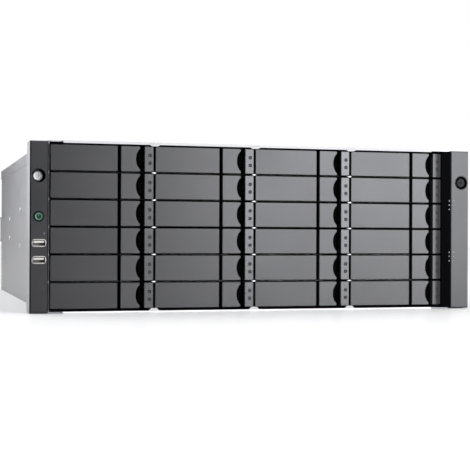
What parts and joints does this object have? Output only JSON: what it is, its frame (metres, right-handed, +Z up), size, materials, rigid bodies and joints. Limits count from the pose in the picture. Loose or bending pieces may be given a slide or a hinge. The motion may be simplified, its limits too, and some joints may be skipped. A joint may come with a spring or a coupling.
{
  "type": "video storage appliance",
  "caption": "Rack-mounted storage chassis with hot-swap drive carriers across its front, ears with thumb screws, and plug-in power supplies at the back.",
  "frame": {"origin": "middle of the chassis underside", "axes": "+X to the right seen from the front, +Y to the back, +Z up"},
  "size_m": [0.4826, 0.6228, 0.175],
  "materials": {
    "bare_steel": "satin zinc plate",
    "grey_plastic": "fine satin",
    "black_plastic": "satin",
    "drive_carrier": "satin",
    "socket_metal": "bright",
    "lamp": "gloss",
    "circuit_board": "solder mask",
    "screw_metal": "bright",
    "supply_case": "satin"
  },
  "bodies": {
    "chassis": {"base_tray": "bare_steel", "top_cover": "bare_steel", "rear_panel": "bare_steel", "drive_cage": "bare_steel", "backplane": "circuit_board", "ear_bracket_left": "bare_steel", "ear_bracket_right": "bare_steel", "ear_bezel_left": "grey_plastic", "ear_bezel_right": "grey_plastic", "usb_sockets": "socket_metal", "front_trim": "black_plastic", "status_lights": "lamp", "slide_rails": "bare_steel", "screws": "bare_steel", "fan_frames": "black_plastic", "mainboard": "circuit_board", "rear_sockets": "socket_metal", "supply_bay": "bare_steel"},
    "carrier_c1_r6": {"carrier_c1_r6": "drive_carrier"},
    "carrier_c1_r5": {"carrier_c1_r5": "drive_carrier"},
    "carrier_c1_r4": {"carrier_c1_r4": "drive_carrier"},
    "carrier_c1_r3": {"carrier_c1_r3": "drive_carrier"},
    "carrier_c1_r2": {"carrier_c1_r2": "drive_carrier"},
    "carrier_c1_r1": {"carrier_c1_r1": "drive_carrier"},
    "handle_c1_r1": {"handle_c1_r1": "black_plastic"},
    "release_c1_r1": {"release_c1_r1": "black_plastic"},
    "carrier_c2_r6": {"carrier_c2_r6": "drive_carrier"},
    "carrier_c2_r5": {"carrier_c2_r5": "drive_carrier"},
    "carrier_c2_r4": {"carrier_c2_r4": "drive_carrier"},
    "carrier_c2_r3": {"carrier_c2_r3": "drive_carrier"},
    "carrier_c2_r2": {"carrier_c2_r2": "drive_carrier"},
    "carrier_c2_r1": {"carrier_c2_r1": "drive_carrier"},
    "handle_c2_r1": {"handle_c2_r1": "black_plastic"},
    "release_c2_r1": {"release_c2_r1": "black_plastic"},
    "carrier_c3_r6": {"carrier_c3_r6": "drive_carrier"},
    "carrier_c3_r5": {"carrier_c3_r5": "drive_carrier"},
    "carrier_c3_r4": {"carrier_c3_r4": "drive_carrier"},
    "carrier_c3_r3": {"carrier_c3_r3": "drive_carrier"},
    "carrier_c3_r2": {"carrier_c3_r2": "drive_carrier"},
    "carrier_c3_r1": {"carrier_c3_r1": "drive_carrier"},
    "handle_c3_r1": {"handle_c3_r1": "black_plastic"},
    "release_c3_r1": {"release_c3_r1": "black_plastic"},
    "carrier_c4_r6": {"carrier_c4_r6": "drive_carrier"},
    "carrier_c4_r5": {"carrier_c4_r5": "drive_carrier"},
    "carrier_c4_r4": {"carrier_c4_r4": "drive_carrier"},
    "carrier_c4_r3": {"carrier_c4_r3": "drive_carrier"},
    "carrier_c4_r2": {"carrier_c4_r2": "drive_carrier"},
    "carrier_c4_r1": {"carrier_c4_r1": "drive_carrier"},
    "handle_c4_r1": {"handle_c4_r1": "black_plastic"},
    "release_c4_r1": {"release_c4_r1": "black_plastic"},
    "thumb_screw_left": {"thumb_screw_left": "screw_metal"},
    "thumb_screw_right": {"thumb_screw_right": "screw_metal"},
    "power_button": {"power_button": "black_plastic"},
    "fan_rotor_1": {"fan_rotor_1": "black_plastic"},
    "fan_rotor_2": {"fan_rotor_2": "black_plastic"},
    "fan_rotor_3": {"fan_rotor_3": "black_plastic"},
    "supply_lower": {"supply_lower": "supply_case"},
    "supply_latch_lower": {"supply_latch_lower": "black_plastic"},
    "supply_upper": {"supply_upper": "supply_case"},
    "supply_latch_upper": {"supply_latch_upper": "black_plastic"}
  },
  "joints": [
    {"name": "carrier_c1_r6_slide", "type": "slide", "parent": "chassis", "child": "carrier_c1_r6", "axis": [0, -1, 0], "range_m": [0, 0.19]},
    {"name": "carrier_c1_r5_slide", "type": "slide", "parent": "chassis", "child": "carrier_c1_r5", "axis": [0, -1, 0], "range_m": [0, 0.19]},
    {"name": "carrier_c1_r4_slide", "type": "slide", "parent": "chassis", "child": "carrier_c1_r4", "axis": [0, -1, 0], "range_m": [0, 0.19]},
    {"name": "carrier_c1_r3_slide", "type": "slide", "parent": "chassis", "child": "carrier_c1_r3", "axis": [0, -1, 0], "range_m": [0, 0.19]},
    {"name": "carrier_c1_r2_slide", "type": "slide", "parent": "chassis", "child": "carrier_c1_r2", "axis": [0, -1, 0], "range_m": [0, 0.19]},
    {"name": "carrier_c1_r1_slide", "type": "slide", "parent": "chassis", "child": "carrier_c1_r1", "axis": [0, -1, 0], "range_m": [0, 0.19]},
    {"name": "handle_c1_r1_hinge", "type": "hinge", "parent": "carrier_c1_r1", "child": "handle_c1_r1", "pos_m": [-0.1476, -0.2911, 0.1575], "axis": [0, 0, -1], "range_deg": [0, 60]},
    {"name": "release_c1_r1_press", "type": "slide", "parent": "carrier_c1_r1", "child": "release_c1_r1", "axis": [0, 1, 0], "range_m": [0, 0.002], "stiffness_N_per_m": 400, "springref_m": -0.001},
    {"name": "carrier_c2_r6_slide", "type": "slide", "parent": "chassis", "child": "carrier_c2_r6", "axis": [0, -1, 0], "range_m": [0, 0.19]},
    {"name": "carrier_c2_r5_slide", "type": "slide", "parent": "chassis", "child": "carrier_c2_r5", "axis": [0, -1, 0], "range_m": [0, 0.19]},
    {"name": "carrier_c2_r4_slide", "type": "slide", "parent": "chassis", "child": "carrier_c2_r4", "axis": [0, -1, 0], "range_m": [0, 0.19]},
    {"name": "carrier_c2_r3_slide", "type": "slide", "parent": "chassis", "child": "carrier_c2_r3", "axis": [0, -1, 0], "range_m": [0, 0.19]},
    {"name": "carrier_c2_r2_slide", "type": "slide", "parent": "chassis", "child": "carrier_c2_r2", "axis": [0, -1, 0], "range_m": [0, 0.19]},
    {"name": "carrier_c2_r1_slide", "type": "slide", "parent": "chassis", "child": "carrier_c2_r1", "axis": [0, -1, 0], "range_m": [0, 0.19]},
    {"name": "handle_c2_r1_hinge", "type": "hinge", "parent": "carrier_c2_r1", "child": "handle_c2_r1", "pos_m": [-0.04, -0.2911, 0.1575], "axis": [0, 0, -1], "range_deg": [0, 60]},
    {"name": "release_c2_r1_press", "type": "slide", "parent": "carrier_c2_r1", "child": "release_c2_r1", "axis": [0, 1, 0], "range_m": [0, 0.002], "stiffness_N_per_m": 400, "springref_m": -0.001},
    {"name": "carrier_c3_r6_slide", "type": "slide", "parent": "chassis", "child": "carrier_c3_r6", "axis": [0, -1, 0], "range_m": [0, 0.19]},
    {"name": "carrier_c3_r5_slide", "type": "slide", "parent": "chassis", "child": "carrier_c3_r5", "axis": [0, -1, 0], "range_m": [0, 0.19]},
    {"name": "carrier_c3_r4_slide", "type": "slide", "parent": "chassis", "child": "carrier_c3_r4", "axis": [0, -1, 0], "range_m": [0, 0.19]},
    {"name": "carrier_c3_r3_slide", "type": "slide", "parent": "chassis", "child": "carrier_c3_r3", "axis": [0, -1, 0], "range_m": [0, 0.19]},
    {"name": "carrier_c3_r2_slide", "type": "slide", "parent": "chassis", "child": "carrier_c3_r2", "axis": [0, -1, 0], "range_m": [0, 0.19]},
    {"name": "carrier_c3_r1_slide", "type": "slide", "parent": "chassis", "child": "carrier_c3_r1", "axis": [0, -1, 0], "range_m": [0, 0.19]},
    {"name": "handle_c3_r1_hinge", "type": "hinge", "parent": "carrier_c3_r1", "child": "handle_c3_r1", "pos_m": [0.0676, -0.2911, 0.1575], "axis": [0, 0, -1], "range_deg": [0, 60]},
    {"name": "release_c3_r1_press", "type": "slide", "parent": "carrier_c3_r1", "child": "release_c3_r1", "axis": [0, 1, 0], "range_m": [0, 0.002], "stiffness_N_per_m": 400, "springref_m": -0.001},
    {"name": "carrier_c4_r6_slide", "type": "slide", "parent": "chassis", "child": "carrier_c4_r6", "axis": [0, -1, 0], "range_m": [0, 0.19]},
    {"name": "carrier_c4_r5_slide", "type": "slide", "parent": "chassis", "child": "carrier_c4_r5", "axis": [0, -1, 0], "range_m": [0, 0.19]},
    {"name": "carrier_c4_r4_slide", "type": "slide", "parent": "chassis", "child": "carrier_c4_r4", "axis": [0, -1, 0], "range_m": [0, 0.19]},
    {"name": "carrier_c4_r3_slide", "type": "slide", "parent": "chassis", "child": "carrier_c4_r3", "axis": [0, -1, 0], "range_m": [0, 0.19]},
    {"name": "carrier_c4_r2_slide", "type": "slide", "parent": "chassis", "child": "carrier_c4_r2", "axis": [0, -1, 0], "range_m": [0, 0.19]},
    {"name": "carrier_c4_r1_slide", "type": "slide", "parent": "chassis", "child": "carrier_c4_r1", "axis": [0, -1, 0], "range_m": [0, 0.19]},
    {"name": "handle_c4_r1_hinge", "type": "hinge", "parent": "carrier_c4_r1", "child": "handle_c4_r1", "pos_m": [0.1752, -0.2911, 0.1575], "axis": [0, 0, -1], "range_deg": [0, 60]},
    {"name": "release_c4_r1_press", "type": "slide", "parent": "carrier_c4_r1", "child": "release_c4_r1", "axis": [0, 1, 0], "range_m": [0, 0.002], "stiffness_N_per_m": 400, "springref_m": -0.001},
    {"name": "thumb_screw_left_turn", "type": "hinge", "parent": "chassis", "child": "thumb_screw_left", "pos_m": [-0.23255, -0.275, 0.1389], "axis": [0, 1, 0], "continuous": true},
    {"name": "thumb_screw_right_turn", "type": "hinge", "parent": "chassis", "child": "thumb_screw_right", "pos_m": [0.23255, -0.275, 0.1389], "axis": [0, 1, 0], "continuous": true},
    {"name": "power_button_press", "type": "slide", "parent": "chassis", "child": "power_button", "axis": [0, 1, 0], "range_m": [0, 0.0015], "stiffness_N_per_m": 500, "springref_m": -0.001},
    {"name": "fan_rotor_1_spin", "type": "hinge", "parent": "chassis", "child": "fan_rotor_1", "pos_m": [-0.124, -0.086, 0.0614], "axis": [0, 1, 0], "continuous": true},
    {"name": "fan_rotor_2_spin", "type": "hinge", "parent": "chassis", "child": "fan_rotor_2", "pos_m": [0, -0.086, 0.0614], "axis": [0, 1, 0], "continuous": true},
    {"name": "fan_rotor_3_spin", "type": "hinge", "parent": "chassis", "child": "fan_rotor_3", "pos_m": [0.124, -0.086, 0.0614], "axis": [0, 1, 0], "continuous": true},
    {"name": "supply_lower_slide", "type": "slide", "parent": "chassis", "child": "supply_lower", "axis": [0, 1, 0], "range_m": [0, 0.19]},
    {"name": "supply_latch_lower_hinge", "type": "hinge", "parent": "supply_lower", "child": "supply_latch_lower", "pos_m": [0.2123, 0.2969, 0.021], "axis": [0, 0, 1], "range_deg": [0, 6], "stiffness_Nm_per_rad": 0.3, "springref_deg": -2.86},
    {"name": "supply_upper_slide", "type": "slide", "parent": "chassis", "child": "supply_upper", "axis": [0, 1, 0], "range_m": [0, 0.19]},
    {"name": "supply_latch_upper_hinge", "type": "hinge", "parent": "supply_upper", "child": "supply_latch_upper", "pos_m": [0.2123, 0.2969, 0.0618], "axis": [0, 0, 1], "range_deg": [0, 6], "stiffness_Nm_per_rad": 0.3, "springref_deg": -2.86}
  ]
}
